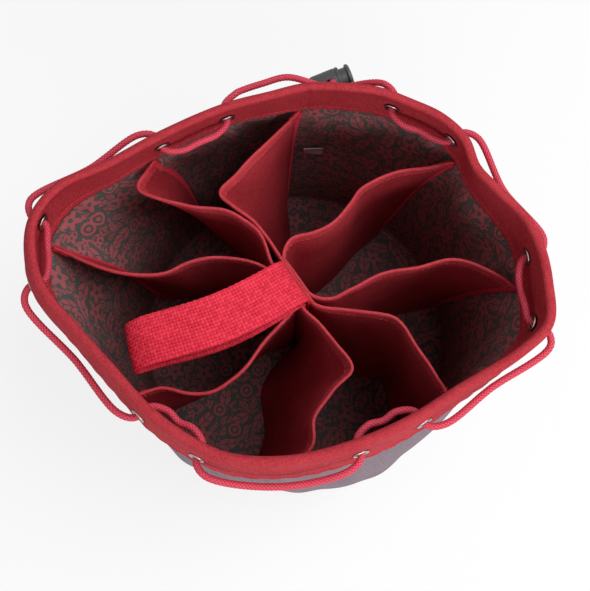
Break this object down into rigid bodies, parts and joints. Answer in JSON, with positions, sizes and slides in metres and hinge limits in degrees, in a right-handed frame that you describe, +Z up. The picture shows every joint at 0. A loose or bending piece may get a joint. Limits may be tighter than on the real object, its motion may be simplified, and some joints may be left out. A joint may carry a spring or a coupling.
{
  "type": "drawstring pouch",
  "caption": "Open kinchaku drawstring pouch on a round base, with a folded canvas band, a cord through eyelets, a sprung cord lock, inner pockets and a webbing pull loop.",
  "frame": {"origin": "in the underside of the round base, below the middle of the mouth", "axes": "+Z up through the mouth, -Y towards the front, +X to the right seen from the front"},
  "size_m": [0.2582, 0.2279, 0.18],
  "materials": {
    "mauve_canvas": "plain woven canvas, matte",
    "red_canvas": "plain woven canvas, matte",
    "printed_lining": "dark olive cloth with a dense muted red print, matte",
    "crimson_webbing": "woven webbing, matte",
    "crimson_braid": "braided cord with dark flecks",
    "label_tape": "blank woven tape",
    "nickel": "nickel plated, satin",
    "black_plastic": "dark grey moulded plastic",
    "spring_steel": "plain spring wire"
  },
  "bodies": {
    "pouch": {"outer_base": "mauve_canvas", "outer_body_panel_1": "mauve_canvas", "outer_body_panel_2": "mauve_canvas", "outer_body_panel_3": "mauve_canvas", "outer_body_panel_4": "mauve_canvas", "outer_body_panel_5": "mauve_canvas", "outer_body_panel_6": "mauve_canvas", "rim_band": "red_canvas", "lining_wall": "printed_lining", "lining_base": "printed_lining", "divider_strip_outer_right": "red_canvas", "divider_strip_inner_right": "red_canvas", "divider_strip_inner_left": "red_canvas", "divider_strip_outer_left": "red_canvas", "pull_strap": "crimson_webbing", "care_label": "label_tape", "drawcord": "crimson_braid", "cord_knot_left": "crimson_braid", "cord_knot_right": "crimson_braid", "cord_lock_body": "black_plastic", "cord_lock_spring": "spring_steel", "eyelet_01": "nickel", "eyelet_02": "nickel", "eyelet_03": "nickel", "eyelet_04": "nickel", "eyelet_05": "nickel", "eyelet_06": "nickel", "eyelet_07": "nickel", "eyelet_08": "nickel", "eyelet_09": "nickel", "eyelet_10": "nickel", "eyelet_11": "nickel", "eyelet_12": "nickel"},
    "lock_plunger": {"cord_lock_plunger": "black_plastic"}
  },
  "joints": [
    {"name": "lock_plunger_press", "type": "slide", "parent": "pouch", "child": "lock_plunger", "axis": [0.9305, 0.3387, 0.1392], "range_m": [-0.0035, 0], "stiffness_N_per_m": 1500, "springref_m": 0.001, "deforming": ["cord_lock_spring"]}
  ]
}
